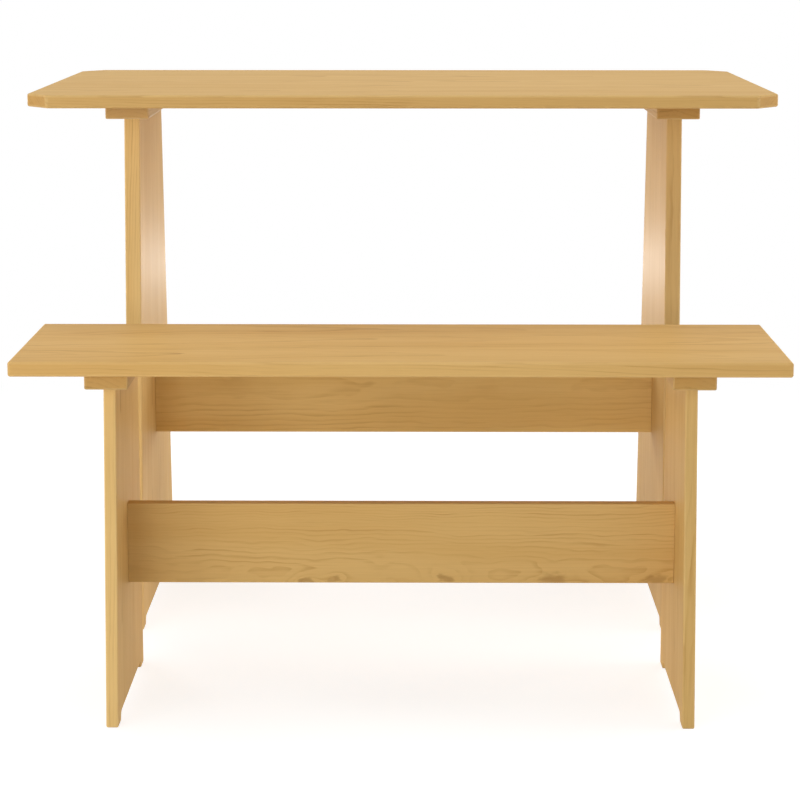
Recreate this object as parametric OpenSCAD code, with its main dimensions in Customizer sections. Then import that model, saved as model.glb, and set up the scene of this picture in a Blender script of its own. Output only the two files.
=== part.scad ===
// Pine bench and matching table with clipped corners, each on two leg panels and one stretcher rail
// X runs left to right, Y from the bench's front to the table's back, Z up from the floor

/* [Set] */
// Free gap between the back edge of the seat and the front edge of the table top
stand_gap = 50; // [20:5:200]

/* [Bench seat] */
// Length of the seat board, left to right
seat_w = 925; // [800:5:1200]
// Depth of the seat board, front to back
seat_d = 290; // [270:5:360]
// Thickness of the seat board
seat_t = 18; // [16:1:28]
// Height of the sitting face above the floor
seat_h = 450; // [420:5:500]

/* [Bench frame] */
// How far the seat reaches past the outer face of each leg panel
bench_overhang = 106.5; // [60:0.5:150]
// Thickness of a leg panel
bench_panel_t = 15; // [15:1:24]
// How far the front foot stands behind the seat's front edge
bench_front_inset = 3; // [0:1:12]
// How far the upright rear edge stands in front of the seat's back edge
bench_rear_inset = 10; // [0:1:20]
// Lean of the panel's front edge, in degrees
bench_slant = 6.3; // [3:0.1:8]
// Width of the cleat between panel and seat
bench_cleat_w = 52; // [50:1:80]
// Thickness of that cleat
bench_cleat_t = 18; // [15:1:24]
// How far the cleat ends stop short of the seat's front and back edges
bench_cleat_inset = 15; // [5:1:25]
// Height of the stretcher rail's face
bench_rail_h = 102; // [90:1:130]
// Thickness of the stretcher rail
bench_rail_t = 18; // [18:1:28]
// Height of the rail's lower edge above the floor
bench_rail_z = 146; // [100:1:180]
// Screws in each flange of a cleat, up into the seat
bench_seat_screw_count = 2; // [2:1:4]
// Screws down through a cleat into its panel
bench_cleat_screw_count = 3; // [2:1:4]

/* [Table top] */
// Length of the table top, left to right
top_w = 980; // [860:5:1300]
// Depth of the table top, front to back
top_d = 600; // [560:5:800]
// Thickness of the table top
top_t = 17; // [16:1:28]
// Height of the table's upper face above the floor
top_h = 740; // [700:5:780]
// Length that each clipped corner takes off the long edge
clip_x = 30; // [15:1:60]
// Length that each clipped corner takes off the short edge
clip_y = 38; // [15:1:60]

/* [Table frame] */
// How far the table top reaches past the outer face of each leg panel
table_overhang = 112; // [60:1:160]
// Thickness of a leg panel
table_panel_t = 21; // [18:1:28]
// Depth of a leg panel at the floor
table_foot_d = 425; // [400:5:480]
// Lean of the panel's front and rear edges, in degrees
table_slant = 5.7; // [3:0.1:7]
// Width of the cleat between panel and top
table_cleat_w = 57; // [55:1:90]
// Thickness of that cleat
table_cleat_t = 18; // [15:1:24]
// How far the cleat ends stop short of the top's front and back edges
table_cleat_inset = 59; // [20:1:90]
// How far the cleat's middle lies inward of its panel's middle
table_cleat_shift = 5; // [0:1:8]
// Height of the stretcher rail's face
table_rail_h = 102; // [90:1:130]
// Thickness of the stretcher rail
table_rail_t = 18; // [18:1:28]
// Height of the rail's lower edge above the floor
table_rail_z = 238; // [200:1:300]
// Screws in each flange of a cleat, up into the top
table_top_screw_count = 3; // [2:1:5]
// Screws down through a cleat into its panel
table_cleat_screw_count = 4; // [2:1:5]

/* [Feet] */
// Length of each sole that rests on the floor, at the front and rear of a panel
sole_len = 28; // [20:1:40]
// Height of the arch between the soles
arch_h = 10; // [8:1:25]
// Lean of the step from sole to arch, as a length along the floor
step_run = 5; // [1:1:10]
// Radius that blends the step into the arch
step_r = 6; // [2:0.5:8]

/* [Edges] */
// Rounding of the arrises of seat and table top
top_arris_r = 3; // [1:0.5:5]
// Rounding of the arrises of panels, cleats and rails
frame_arris_r = 2; // [0.5:0.5:4]

/* [Bolts and barrel nuts] */
// Shank radius of a bolt
bolt_r = 3; // [2.5:0.25:4]
// Radius of a bolt's flat head
bolt_head_r = 7.5; // [6:0.5:9]
// Thickness of a bolt's flat head
bolt_head_t = 2.5; // [2:0.5:4]
// Bevel of the head's rim and of the shank's end
bolt_bevel = 0.7; // [0.4:0.1:0.9]
// Distance across the flats of the hexagon socket
socket_af = 4; // [3:0.5:5]
// Depth of the hexagon socket
socket_depth = 1.8; // [1:0.1:1.9]
// Length of bolt that shows past the barrel nut
bolt_tail = 4; // [1:1:8]
// Radius of a barrel nut
nut_r = 5; // [4.5:0.5:6]
// Length of a barrel nut
nut_len = 14; // [12:1:16]
// Distance from the end of a rail to the axis of its barrel nut
nut_setback = 34; // [25:1:45]
// Width of the slot in the nut's outer end
nut_slot_w = 1.2; // [0.8:0.1:2]
// Depth of the slot in the nut's outer end
nut_slot_depth = 1; // [0.5:0.1:2]
// Distance of each bolt above and below the rail's middle
bolt_offset = 28; // [22:1:34]

/* [Dowels and screws] */
// Radius of a dowel
dowel_r = 4; // [3:0.5:4]
// Length of a dowel
dowel_len = 30; // [25:1:40]
// Length of dowel that sits in the leg panel
dowel_in_panel = 9; // [6:1:11]
// Bevel at each end of a dowel
dowel_bevel = 1; // [0.5:0.5:1.5]
// Shank radius of the screws that hold the seat and the top
top_screw_r = 2; // [1.5:0.25:2.5]
// Length of those screws
top_screw_len = 30; // [26:1:32]
// Shank radius of the screws that hold the cleats to the panels
cleat_screw_r = 2.25; // [1.75:0.25:2.5]
// Length of those screws
cleat_screw_len = 60; // [45:1:80]
// Head radius of a screw as a multiple of its shank radius
screw_head_ratio = 2; // [1.6:0.1:2]
// Thin rim of a screw's head above its cone
screw_rim = 0.4; // [0.2:0.1:0.6]
// Length of a screw's pointed tip
screw_tip = 5; // [3:1:8]
// Width of a slot of the cross recess
recess_w = 0.9; // [0.5:0.1:1.2]
// Depth of the cross recess
recess_depth = 1.4; // [0.8:0.1:1.8]
// Distance of the outer screws from the end of a cleat or of a panel's top edge
screw_margin = 35; // [25:1:60]
// Radial play of bolts, nuts, dowels and screws in their bores
bore_play = 0.1; // [0.05:0.01:0.3]
// Free depth past the end of a dowel, bolt or screw in a blind bore
bore_overrun = 1; // [0.5:0.5:2]

/* [Hidden] */

PINE = [0.80, 0.64, 0.39];
PINE_SHADE = [0.74, 0.57, 0.33];
BEECH = [0.85, 0.70, 0.50];
STEEL = [0.72, 0.73, 0.74];

// Circle resolution of rounded arrises and of bores
round_fn = 48;
// Overlap that cutting shapes reach past a face
cut = 1;
LEFT = -1;
RIGHT = 1;

// Places along Y, with the origin under the middle of the whole set
set_d = seat_d + stand_gap + top_d;
bench_front_y = -set_d / 2;
bench_mid_y = bench_front_y + seat_d / 2;
table_front_y = bench_front_y + seat_d + stand_gap;
table_mid_y = table_front_y + top_d / 2;

// Leg panels, with the spans measured over their outer faces
bench_span = seat_w - 2 * bench_overhang;
table_span = top_w - 2 * table_overhang;
bench_panel_h = seat_h - seat_t - bench_cleat_t;
bench_foot_front_y = bench_front_y + bench_front_inset;
bench_foot_rear_y = bench_front_y + seat_d - bench_rear_inset;
bench_panel_x = (bench_span - bench_panel_t) / 2;
table_panel_h = top_h - top_t - table_cleat_t;
table_foot_front_y = table_mid_y - table_foot_d / 2;
table_foot_rear_y = table_mid_y + table_foot_d / 2;
table_panel_x = (table_span - table_panel_t) / 2;

// Stretcher rails fill the space between the panels' inner faces
bench_rail_len = bench_span - 2 * bench_panel_t;
table_rail_len = table_span - 2 * table_panel_t;

// What the shared modules read about one frame:
// [panel_x, panel_t, rail_len, rail_t, rail_h, rail_z, mid_y]
BENCH_JOINT = [
    bench_panel_x, bench_panel_t, bench_rail_len, bench_rail_t, bench_rail_h, bench_rail_z, bench_mid_y
];
TABLE_JOINT = [
    table_panel_x, table_panel_t, table_rail_len, table_rail_t, table_rail_h, table_rail_z, table_mid_y
];
function joint_panel_x(j) = j[0];
function joint_panel_t(j) = j[1];
function joint_rail_len(j) = j[2];
function joint_rail_t(j) = j[3];
function joint_rail_h(j) = j[4];
function joint_rail_z(j) = j[5];
function joint_mid_y(j) = j[6];
function joint_mid_z(j) = joint_rail_z(j) + joint_rail_h(j) / 2;
function joint_bolt_len(j) = joint_panel_t(j) + nut_setback + nut_r + bolt_tail;

// Evenly spaced places from a to b
function spread(a, b, count) = [for (i = [0 : count - 1]) a + (b - a) * i / (count - 1)];

// Y places of the screws in a panel's top edge
bench_cleat_screw_ys = spread(
    bench_foot_front_y + bench_panel_h * tan(bench_slant) + screw_margin,
    bench_foot_rear_y - screw_margin,
    bench_cleat_screw_count
);
table_cleat_screw_ys = spread(
    table_foot_front_y + table_panel_h * tan(table_slant) + screw_margin,
    table_foot_rear_y - table_panel_h * tan(table_slant) - screw_margin,
    table_cleat_screw_count
);

// Y places of the screws that run up through a cleat's flanges
bench_seat_screw_ys = spread(
    bench_front_y + bench_cleat_inset + screw_margin,
    bench_front_y + seat_d - bench_cleat_inset - screw_margin,
    bench_seat_screw_count
);
table_top_screw_ys = spread(
    table_front_y + table_cleat_inset + screw_margin,
    table_front_y + top_d - table_cleat_inset - screw_margin,
    table_top_screw_count
);

// X places of those screws, measured outward from the panel's middle: the middle of each flange
function flange_xs(panel_t, cleat_w, shift) = [
    (cleat_w / 2 - shift + panel_t / 2) / 2,
    -(cleat_w / 2 + shift + panel_t / 2) / 2
];
bench_flange_xs = flange_xs(bench_panel_t, bench_cleat_w, 0);
table_flange_xs = flange_xs(table_panel_t, table_cleat_w, table_cleat_shift);

// Flat shapes

// Rectangle about the origin with round corners of true arcs
module rounded_rect(w, h, r) {
    square([w - 2 * r, h], center = true);
    square([w, h - 2 * r], center = true);
    for (x = [LEFT, RIGHT], y = [-1, 1])
        translate([x * (w / 2 - r), y * (h / 2 - r)])
            circle(r, $fn = round_fn);
}

// Half of the arch cut: from the sole's end at the origin, up the leaning step, round the blend
// and along the arch's crown to length
module half_arch(length, h, run, r) {
    lean = atan2(run, h);
    blend = r * tan((90 - lean) / 2);
    centre = [run + blend, h - r];
    polygon([
        [0, -cut],
        [0, 0],
        centre + r * [-cos(lean), sin(lean)],
        centre,
        [run + blend, h],
        [length, h],
        [length, -cut]
    ]);
    intersection() {
        translate(centre)
            circle(r, $fn = round_fn);
        polygon([[0, 0], [run, h], [length, h], [length, 0]]);
    }
}

// Arch cut between two soles that lie at y = a and y = b
module arch(a, b) {
    half = (b - a) / 2;
    for (side = [0, 1])
        translate([(a + b) / 2, 0])
            mirror([side, 0])
                translate([-half, 0])
                    half_arch(half + (side == 0 ? cut : 0), arch_h, step_run, step_r);
}

// Wooden pieces

// Board about the Z axis, standing on z = 0, with all long and short arrises rounded
module eased_board(w, d, t, r) {
    intersection() {
        translate([-w / 2, 0, t / 2])
            rotate([90, 0, 90])
                linear_extrude(w)
                    rounded_rect(d, t, r);
        translate([0, d / 2, t / 2])
            rotate([90, 0, 0])
                linear_extrude(d)
                    rounded_rect(w, t, r);
    }
}

// Bar that clips a board's corner: its rounded side lies along the cut
module clip_bar(w, d, t, r, turn) {
    side = norm([clip_x, clip_y]);
    reach = (w / 2 * clip_y + (d / 2 - clip_y) * clip_x) / side;
    rotate([0, 0, turn * atan2(clip_x, clip_y)])
        translate([0, (w + d) / 2, t / 2])
            rotate([90, 0, 0])
                linear_extrude(w + d)
                    rounded_rect(2 * reach, t, r);
}

// Table board with its four corners clipped and every arris rounded, the clips' too
module clipped_board(w, d, t, r) {
    intersection() {
        eased_board(w, d, t, r);
        clip_bar(w, d, t, r, 1);
        clip_bar(w, d, t, r, -1);
    }
}

// Bar whose rounded front face leans back by slant, from y = 0 at the floor
module leaning_bar(t, reach, h, r, slant) {
    rotate([-slant, 0, 0])
        translate([0, reach / 2, -reach])
            linear_extrude(h + 2 * reach)
                rounded_rect(t, reach, r);
}

// Leg panel about x = 0: trapezoid with two soles, an arch between them and rounded edges
module leg_panel(t, front_y, rear_y, h, front_slant, rear_slant) {
    depth = rear_y - front_y;
    intersection() {
        translate([-t / 2, 0, 0])
            rotate([90, 0, 90])
                linear_extrude(t)
                    difference() {
                        polygon([
                            [front_y, 0],
                            [rear_y, 0],
                            [rear_y - h * tan(rear_slant), h],
                            [front_y + h * tan(front_slant), h]
                        ]);
                        arch(front_y + sole_len, rear_y - sole_len);
                    }
        translate([0, front_y, 0])
            leaning_bar(t, 2 * depth, h, frame_arris_r, front_slant);
        translate([0, rear_y, 0])
            mirror([0, 1, 0])
                leaning_bar(t, 2 * depth, h, frame_arris_r, rear_slant);
    }
}

// Rail about x = 0 and y = 0, on z = 0, with its four long arrises rounded
module rail(length, t, h) {
    translate([-length / 2, 0, h / 2])
        rotate([90, 0, 90])
            linear_extrude(length)
                rounded_rect(t, h, frame_arris_r);
}

// Fasteners, each drawn along +X or +Z from its head

// Flat-headed bolt with a hexagon socket: the head's seat is at x = 0, the head lies at x < 0
module bolt(length) {
    rotate([0, 90, 0])
        difference() {
            rotate_extrude($fn = round_fn)
                polygon([
                    [0, -bolt_head_t],
                    [bolt_head_r - bolt_bevel, -bolt_head_t],
                    [bolt_head_r, bolt_bevel - bolt_head_t],
                    [bolt_head_r, 0],
                    [bolt_r, 0],
                    [bolt_r, length - bolt_bevel],
                    [bolt_r - bolt_bevel, length],
                    [0, length]
                ]);
            translate([0, 0, -bolt_head_t - cut])
                cylinder(h = socket_depth + cut, r = socket_af / sqrt(3), $fn = 6);
        }
}

// Barrel nut about the origin along Y, slotted at its outer end and drilled across for the bolt
module barrel_nut() {
    difference() {
        rotate([90, 0, 0])
            cylinder(h = nut_len, r = nut_r, center = true, $fn = round_fn);
        rotate([0, 90, 0])
            cylinder(h = 2 * nut_r + 2 * cut, r = bolt_r + bore_play, center = true, $fn = round_fn);
        translate([-nut_slot_w / 2, nut_len / 2 - nut_slot_depth, -nut_r - cut])
            cube([nut_slot_w, nut_slot_depth + cut, 2 * (nut_r + cut)]);
    }
}

// Dowel along +X with bevelled ends
module dowel() {
    rotate([0, 90, 0])
        rotate_extrude($fn = round_fn)
            polygon([
                [0, 0],
                [dowel_r - dowel_bevel, 0],
                [dowel_r, dowel_bevel],
                [dowel_r, dowel_len - dowel_bevel],
                [dowel_r - dowel_bevel, dowel_len],
                [0, dowel_len]
            ]);
}

// Countersunk screw along +Z with the flat of its head at z = 0 and a cross recess in it
module screw(r, length) {
    head_r = r * screw_head_ratio;
    difference() {
        rotate_extrude($fn = round_fn)
            polygon([
                [0, 0],
                [head_r, 0],
                [head_r, screw_rim],
                [r, screw_rim + head_r - r],
                [r, length - screw_tip],
                [0, length]
            ]);
        for (turn = [0, 90])
            rotate([0, 0, turn])
                translate([-r, -recess_w / 2, -cut])
                    cube([2 * r, recess_w, recess_depth + cut]);
    }
}

// Bore for that screw: its countersink opens at z = 0
module screw_bore(r, length) {
    head_r = r * screw_head_ratio;
    translate([0, 0, -cut])
        cylinder(h = length + cut + bore_overrun, r = r + bore_play, $fn = round_fn);
    translate([0, 0, -cut])
        cylinder(h = cut + screw_rim, r = head_r + bore_play, $fn = round_fn);
    translate([0, 0, screw_rim])
        cylinder(h = head_r - r, r1 = head_r + bore_play, r2 = r + bore_play, $fn = round_fn);
}

// Places of the fasteners

// Puts its children at each bolt of one end of a frame, x = 0 on the panel's outer face
// and +X towards the middle of the furniture
module at_bolts(j, side) {
    for (dz = [-bolt_offset, bolt_offset])
        mirror([side == LEFT ? 0 : 1, 0, 0])
            translate([-joint_panel_x(j) - joint_panel_t(j) / 2, joint_mid_y(j), joint_mid_z(j) + dz])
                children();
}

// Puts its children at the barrel nuts of one end
module at_nuts(j, side) {
    at_bolts(j, side)
        translate([joint_panel_t(j) + nut_setback, 0, 0])
            children();
}

// Puts its children at the dowel of one end, x = 0 on the dowel's outer end
module at_dowel(j, side) {
    mirror([side == LEFT ? 0 : 1, 0, 0])
        translate([-joint_rail_len(j) / 2 - dowel_in_panel, joint_mid_y(j), joint_mid_z(j)])
            children();
}

// Puts its children under a cleat at the screws of both flanges
module at_flanges(side, panel_x, xs, ys, z) {
    for (dx = xs, y = ys)
        translate([side * (panel_x + dx), y, z])
            children();
}

// Bores that the stretcher joint leaves in a panel
module panel_bores(j, side) {
    at_bolts(j, side)
        translate([-cut, 0, 0])
            rotate([0, 90, 0])
                cylinder(h = joint_panel_t(j) + 2 * cut, r = bolt_r + bore_play, $fn = round_fn);
    at_dowel(j, side)
        translate([-bore_overrun, 0, 0])
            rotate([0, 90, 0])
                cylinder(h = dowel_in_panel + bore_overrun + cut, r = dowel_r + bore_play, $fn = round_fn);
}

// Bores that the joint leaves in a rail: bolt and dowel in the end, nut from the rear face
module rail_bores(j, side) {
    rear_y = joint_rail_t(j) / 2;
    at_bolts(j, side)
        translate([joint_panel_t(j) - cut, 0, 0])
            rotate([0, 90, 0])
                cylinder(
                    h = nut_setback + nut_r + bolt_tail + bore_overrun + cut,
                    r = bolt_r + bore_play,
                    $fn = round_fn
                );
    at_nuts(j, side)
        translate([0, rear_y + cut, 0])
            rotate([90, 0, 0])
                cylinder(h = rear_y + cut + nut_len / 2, r = nut_r + bore_play, $fn = round_fn);
    at_dowel(j, side)
        translate([dowel_in_panel - cut, 0, 0])
            rotate([0, 90, 0])
                cylinder(
                    h = dowel_len - dowel_in_panel + bore_overrun + cut,
                    r = dowel_r + bore_play,
                    $fn = round_fn
                );
}

// Bench

// Cleat of one end with the bores of its screws
module bench_cleat(side) {
    z = bench_panel_h;
    color(PINE_SHADE)
        difference() {
            translate([side * bench_panel_x, bench_mid_y, z])
                eased_board(bench_cleat_w, seat_d - 2 * bench_cleat_inset, bench_cleat_t, frame_arris_r);
            at_flanges(side, bench_panel_x, bench_flange_xs, bench_seat_screw_ys, z)
                screw_bore(top_screw_r, top_screw_len);
            for (y = bench_cleat_screw_ys)
                translate([side * bench_panel_x, y, z + bench_cleat_t])
                    mirror([0, 0, 1])
                        screw_bore(cleat_screw_r, cleat_screw_len);
        }
}

// Leg panel of one end: its front edge leans, its rear edge is upright
module bench_leg(side) {
    color(PINE)
        difference() {
            translate([side * bench_panel_x, 0, 0])
                leg_panel(
                    bench_panel_t, bench_foot_front_y, bench_foot_rear_y, bench_panel_h, bench_slant, 0
                );
            panel_bores(BENCH_JOINT, side);
            for (y = bench_cleat_screw_ys)
                translate([side * bench_panel_x, y, bench_panel_h + bench_cleat_t])
                    mirror([0, 0, 1])
                        screw_bore(cleat_screw_r, cleat_screw_len);
        }
}

module bench_seat() {
    color(PINE)
        difference() {
            translate([0, bench_mid_y, seat_h - seat_t])
                eased_board(seat_w, seat_d, seat_t, top_arris_r);
            for (side = [LEFT, RIGHT])
                at_flanges(side, bench_panel_x, bench_flange_xs, bench_seat_screw_ys, bench_panel_h)
                    screw_bore(top_screw_r, top_screw_len);
        }
}

module bench_left_cleat() {
    bench_cleat(LEFT);
}

module bench_right_cleat() {
    bench_cleat(RIGHT);
}

module bench_left_leg() {
    bench_leg(LEFT);
}

module bench_right_leg() {
    bench_leg(RIGHT);
}

module bench_stretcher() {
    color(PINE_SHADE)
        difference() {
            translate([0, bench_mid_y, bench_rail_z])
                rail(bench_rail_len, bench_rail_t, bench_rail_h);
            for (side = [LEFT, RIGHT])
                rail_bores(BENCH_JOINT, side);
        }
}

module bench_bolts() {
    color(STEEL)
        for (side = [LEFT, RIGHT])
            at_bolts(BENCH_JOINT, side)
                bolt(joint_bolt_len(BENCH_JOINT));
}

module bench_barrel_nuts() {
    color(STEEL)
        for (side = [LEFT, RIGHT])
            at_nuts(BENCH_JOINT, side)
                barrel_nut();
}

module bench_dowels() {
    color(BEECH)
        for (side = [LEFT, RIGHT])
            at_dowel(BENCH_JOINT, side)
                dowel();
}

module bench_seat_screws() {
    color(STEEL)
        for (side = [LEFT, RIGHT])
            at_flanges(side, bench_panel_x, bench_flange_xs, bench_seat_screw_ys, bench_panel_h)
                screw(top_screw_r, top_screw_len);
}

module bench_cleat_screws() {
    color(STEEL)
        for (side = [LEFT, RIGHT], y = bench_cleat_screw_ys)
            translate([side * bench_panel_x, y, bench_panel_h + bench_cleat_t])
                mirror([0, 0, 1])
                    screw(cleat_screw_r, cleat_screw_len);
}

// Table

// Cleat of one end with the bores of its screws
module table_cleat(side) {
    z = table_panel_h;
    color(PINE_SHADE)
        difference() {
            translate([side * (table_panel_x - table_cleat_shift), table_mid_y, z])
                eased_board(table_cleat_w, top_d - 2 * table_cleat_inset, table_cleat_t, frame_arris_r);
            at_flanges(side, table_panel_x, table_flange_xs, table_top_screw_ys, z)
                screw_bore(top_screw_r, top_screw_len);
            for (y = table_cleat_screw_ys)
                translate([side * table_panel_x, y, z + table_cleat_t])
                    mirror([0, 0, 1])
                        screw_bore(cleat_screw_r, cleat_screw_len);
        }
}

// Leg panel of one end: both edges lean alike
module table_leg(side) {
    color(PINE)
        difference() {
            translate([side * table_panel_x, 0, 0])
                leg_panel(
                    table_panel_t, table_foot_front_y, table_foot_rear_y, table_panel_h,
                    table_slant, table_slant
                );
            panel_bores(TABLE_JOINT, side);
            for (y = table_cleat_screw_ys)
                translate([side * table_panel_x, y, table_panel_h + table_cleat_t])
                    mirror([0, 0, 1])
                        screw_bore(cleat_screw_r, cleat_screw_len);
        }
}

module table_top() {
    color(PINE)
        difference() {
            translate([0, table_mid_y, top_h - top_t])
                clipped_board(top_w, top_d, top_t, top_arris_r);
            for (side = [LEFT, RIGHT])
                at_flanges(side, table_panel_x, table_flange_xs, table_top_screw_ys, table_panel_h)
                    screw_bore(top_screw_r, top_screw_len);
        }
}

module table_left_cleat() {
    table_cleat(LEFT);
}

module table_right_cleat() {
    table_cleat(RIGHT);
}

module table_left_leg() {
    table_leg(LEFT);
}

module table_right_leg() {
    table_leg(RIGHT);
}

module table_stretcher() {
    color(PINE_SHADE)
        difference() {
            translate([0, table_mid_y, table_rail_z])
                rail(table_rail_len, table_rail_t, table_rail_h);
            for (side = [LEFT, RIGHT])
                rail_bores(TABLE_JOINT, side);
        }
}

module table_bolts() {
    color(STEEL)
        for (side = [LEFT, RIGHT])
            at_bolts(TABLE_JOINT, side)
                bolt(joint_bolt_len(TABLE_JOINT));
}

module table_barrel_nuts() {
    color(STEEL)
        for (side = [LEFT, RIGHT])
            at_nuts(TABLE_JOINT, side)
                barrel_nut();
}

module table_dowels() {
    color(BEECH)
        for (side = [LEFT, RIGHT])
            at_dowel(TABLE_JOINT, side)
                dowel();
}

module table_top_screws() {
    color(STEEL)
        for (side = [LEFT, RIGHT])
            at_flanges(side, table_panel_x, table_flange_xs, table_top_screw_ys, table_panel_h)
                screw(top_screw_r, top_screw_len);
}

module table_cleat_screws() {
    color(STEEL)
        for (side = [LEFT, RIGHT], y = table_cleat_screw_ys)
            translate([side * table_panel_x, y, table_panel_h + table_cleat_t])
                mirror([0, 0, 1])
                    screw(cleat_screw_r, cleat_screw_len);
}

bench_seat();
bench_left_cleat();
bench_right_cleat();
bench_left_leg();
bench_right_leg();
bench_stretcher();
bench_bolts();
bench_barrel_nuts();
bench_dowels();
bench_seat_screws();
bench_cleat_screws();
table_top();
table_left_cleat();
table_right_cleat();
table_left_leg();
table_right_leg();
table_stretcher();
table_bolts();
table_barrel_nuts();
table_dowels();
table_top_screws();
table_cleat_screws();
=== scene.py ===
"""Looks of a pine bench and its matching table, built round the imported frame.

Lengths are metres unless a name ends in _mm. X runs left to right, Y away from the viewer, Z up.
"""

import logging
import math
from collections.abc import Callable, Iterable, Mapping, Sequence
from dataclasses import dataclass, replace
from enum import Enum
from functools import partial

import bmesh
import bpy
from bmesh.types import BMEdge, BMFace, BMVert
from bpy.types import Material, NodeSocket, NodeTree, Object
from mathutils import Euler, Matrix, Vector


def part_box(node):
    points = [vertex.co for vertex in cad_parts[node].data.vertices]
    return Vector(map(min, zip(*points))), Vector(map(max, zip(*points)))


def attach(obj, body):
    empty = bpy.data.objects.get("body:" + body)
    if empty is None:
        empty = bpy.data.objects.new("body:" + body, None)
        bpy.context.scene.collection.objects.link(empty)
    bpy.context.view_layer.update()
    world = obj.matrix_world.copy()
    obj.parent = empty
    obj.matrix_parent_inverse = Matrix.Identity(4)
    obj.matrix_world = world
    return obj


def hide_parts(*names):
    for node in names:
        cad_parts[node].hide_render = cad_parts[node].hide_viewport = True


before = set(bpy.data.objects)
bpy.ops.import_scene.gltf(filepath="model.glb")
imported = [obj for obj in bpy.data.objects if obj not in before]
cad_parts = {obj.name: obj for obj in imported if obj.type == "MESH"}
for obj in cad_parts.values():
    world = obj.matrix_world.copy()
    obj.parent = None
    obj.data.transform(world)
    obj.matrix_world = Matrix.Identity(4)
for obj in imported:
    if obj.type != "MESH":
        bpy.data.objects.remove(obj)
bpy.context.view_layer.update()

LOG = logging.getLogger("bench_and_table")
MM = 0.001
UP = Vector((0.0, 0.0, 1.0))
DOWN = -UP
RIGHTWARD = Vector((1.0, 0.0, 0.0))
REARWARD = Vector((0.0, 1.0, 0.0))
WHITE = (1.0, 1.0, 1.0, 1.0)
# Length that a cutting shape reaches past the face that it opens
OVERCUT = 1 * MM
# Play between a fastener and its bore, and free depth past its tip
PLAY = 0.1 * MM
OVERRUN = 1 * MM
# Foot of a thread against the core's radius, so that the thread sinks into its core
THREAD_SINK = 0.98
# Meshes from the frame repeat each corner once per triangle; corners this close are one
SAME_PLACE = 0.001 * MM
# Decimals of a middle that count when solids are put in order
ORDER_DECIMALS = 4
# Faces that meet at less than this are shaded as one round surface
SMOOTH_ANGLE = math.radians(32)
# Face layer that is 1 on a rounded arris and 0 on the flat of a board
ARRIS_LAYER = "arris"
# Scale that flattens an axis of a pattern away
FLAT = 1.0e6
# Sockets of a mix of two colours: the share of the second, the first, the second, and what comes out
SHARE, FROM, TO, MIXED = 0, 6, 7, 2
# Range of a pattern, and the shares that its two ends stand for
Span = tuple[float, float, float, float]
Tint = tuple[float, float, float]
Adder = Callable[..., NodeSocket]


class Side(Enum):
    """End of a piece of furniture; the value is the sign of its X."""

    LEFT = -1
    RIGHT = 1

    @property
    def outward(self) -> Vector:
        """Direction from the middle of the furniture to this end."""
        return RIGHTWARD * self.value

    @property
    def word(self) -> str:
        """The side's name as the frame's nodes spell it."""
        return self.name.lower()


class Grain(Enum):
    """Run of a board's fibres, as the turn that takes its own axes (along, across, deep) to the frame's."""

    SIDEWAYS_FLAT = (0.0, 0.0, 0.0)
    SIDEWAYS_ON_EDGE = (math.pi / 2, 0.0, 0.0)
    FRONT_TO_BACK = (0.0, 0.0, math.pi / 2)
    UPRIGHT = (0.0, -math.pi / 2, 0.0)


@dataclass(frozen=True)
class Box:
    """Lowest and highest corner of a solid of the frame."""

    low: Vector
    high: Vector

    @property
    def middle(self) -> Vector:
        """Point halfway between the corners."""
        return (self.low + self.high) / 2

    @property
    def size(self) -> Vector:
        """Lengths along X, Y and Z."""
        return self.high - self.low

    def toward(self, way: Vector) -> Vector:
        """Gives the point furthest that way: the middle of a face, or a corner."""
        return self.middle + self.size / 2 * way


def box_of(node: str) -> Box:
    """Gives the box of a frame node at rest."""
    return Box(*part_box(node))


def solids_of(node: str) -> list[Box]:
    """Finds the separate solids of a frame node, such as the screws that share one.

    Args:
        node: Name of the node.

    Returns:
        One box for each solid, ordered by its middle.
    """
    mesh = bmesh.new()
    mesh.from_mesh(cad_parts[node].data)
    bmesh.ops.remove_doubles(mesh, verts=mesh.verts, dist=SAME_PLACE)
    unseen = set(mesh.verts)
    boxes = []
    while unseen:
        island = [unseen.pop()]
        for vert in island:
            near = {edge.other_vert(vert) for edge in vert.link_edges} & unseen
            unseen -= near
            island.extend(near)
        axes = list(zip(*(vert.co for vert in island)))
        boxes.append(Box(Vector(map(min, axes)), Vector(map(max, axes))))
    mesh.free()
    return sorted(boxes, key=lambda box: tuple(round(value, ORDER_DECIMALS) for value in box.middle))


def linear(sheet_colour: str) -> tuple[float, float, float, float]:
    """Turns an sRGB hex value to the linear colour that a shader socket takes.

    Args:
        sheet_colour: Colour such as "#D2AA6E".

    Returns:
        Linear red, green and blue, and 1 as alpha.
    """
    channels = [int(sheet_colour[at : at + 2], 16) / 255 for at in (1, 3, 5)]
    # Curve of the sRGB standard: straight near black, a power above
    red, green, blue = (c / 12.92 if c <= 0.04045 else ((c + 0.055) / 1.055) ** 2.4 for c in channels)
    return red, green, blue, 1.0


def add_node(
    tree: NodeTree,
    kind: str,
    inputs: Mapping[str | int, object] | Sequence[object] = (),
    output: str | int = 0,
    **settings: object,
) -> NodeSocket | None:
    """Adds a shader node with its settings, input values and links.

    Args:
        tree: Node tree that gets the node.
        kind: Blender's identifier of the node, after ShaderNode.
        inputs: Value or output socket for each input, in order, or by name or number.
        output: Name or number of the output that is used.
        **settings: Properties of the node.

    Returns:
        That output, or None from a node that ends a tree.
    """
    node = tree.nodes.new(f"ShaderNode{kind}")
    for name, value in settings.items():
        setattr(node, name, value)
    for key, value in inputs.items() if isinstance(inputs, Mapping) else enumerate(inputs):
        if isinstance(value, NodeSocket):
            tree.links.new(value, node.inputs[key])
        else:
            node.inputs[key].default_value = value
    return node.outputs[output] if len(node.outputs) else None


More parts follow.
